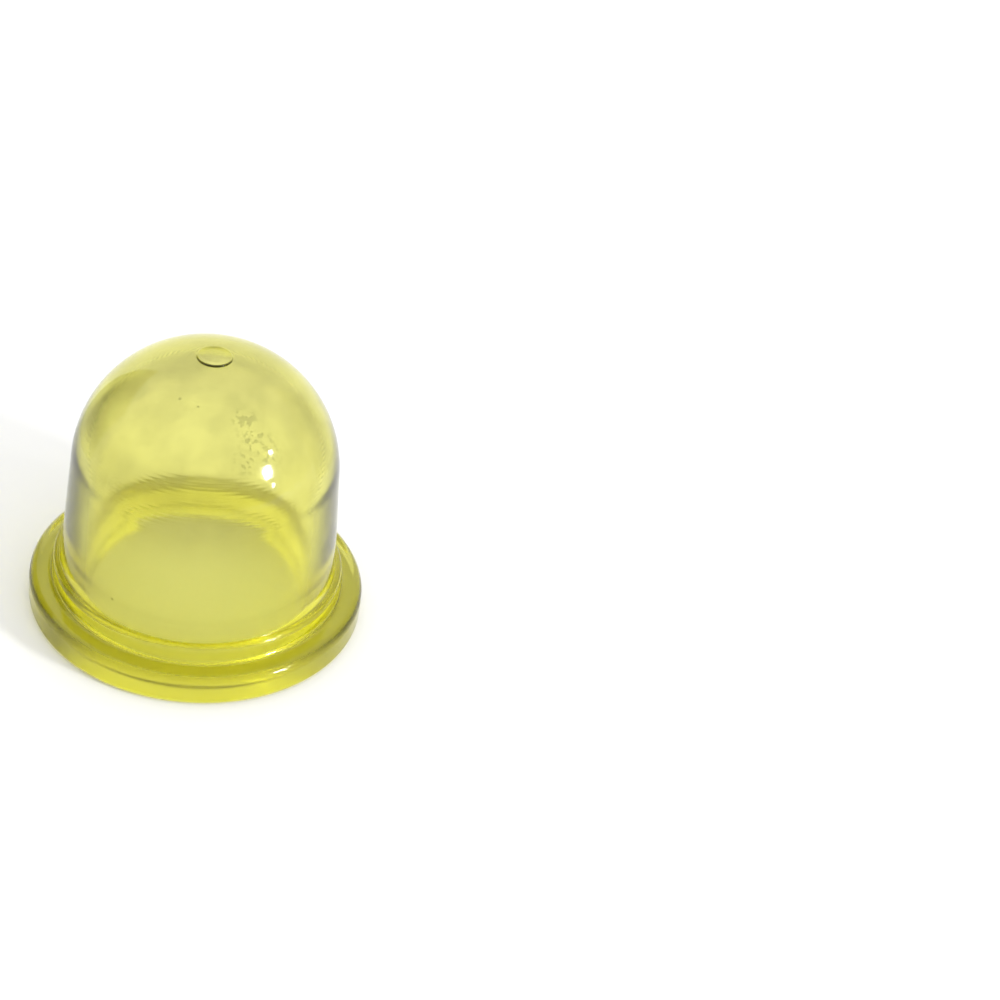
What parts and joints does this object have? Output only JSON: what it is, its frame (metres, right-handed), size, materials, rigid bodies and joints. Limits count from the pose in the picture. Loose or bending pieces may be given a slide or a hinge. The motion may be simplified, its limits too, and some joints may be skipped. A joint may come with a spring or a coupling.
{
  "type": "primer bulb",
  "caption": "See-through yellow elastic dome with a thick round flange, a wide open mouth underneath and a small round gate mark on the crown.",
  "frame": {"origin": "centre of the flange's flat underside, on the bulb's axis", "axes": "+Z along the bulb's axis, from the mouth to the crown; the bulb is round, so X and Y are free"},
  "size_m": [0.022, 0.022, 0.0193],
  "materials": {
    "yellow_elastomer": "smooth, glossy, see-through yellow-green"
  },
  "bodies": {
    "root": {"primer_bulb": "yellow_elastomer"}
  },
  "joints": []
}
